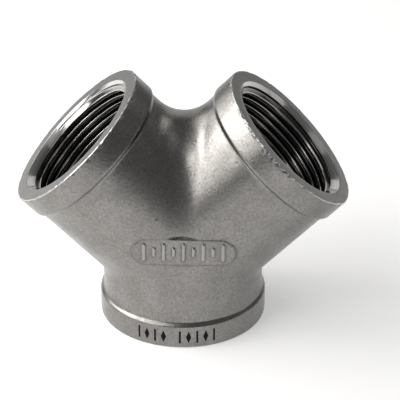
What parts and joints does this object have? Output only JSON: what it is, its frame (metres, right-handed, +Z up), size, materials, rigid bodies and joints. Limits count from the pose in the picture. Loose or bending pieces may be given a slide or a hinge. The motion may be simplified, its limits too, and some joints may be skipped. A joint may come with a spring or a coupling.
{
  "type": "y pipe fitting",
  "caption": "Hollow Y-shaped cast stainless steel pipe fitting: the lower port splits into upper ports at right angles to each other, all collared and threaded inside.",
  "frame": {"origin": "centre of the lower port's end face, on the surface the fitting stands on", "axes": "+Z up along the lower port; the upper ports lean 45 degrees to -X and +X; the marked pad faces -Y"},
  "size_m": [0.1022, 0.052, 0.0785],
  "materials": {
    "cast_steel": "bead-blasted cast stainless steel, with turned port faces and threads"
  },
  "bodies": {
    "root": {"y_fitting_body": "cast_steel"}
  },
  "joints": []
}
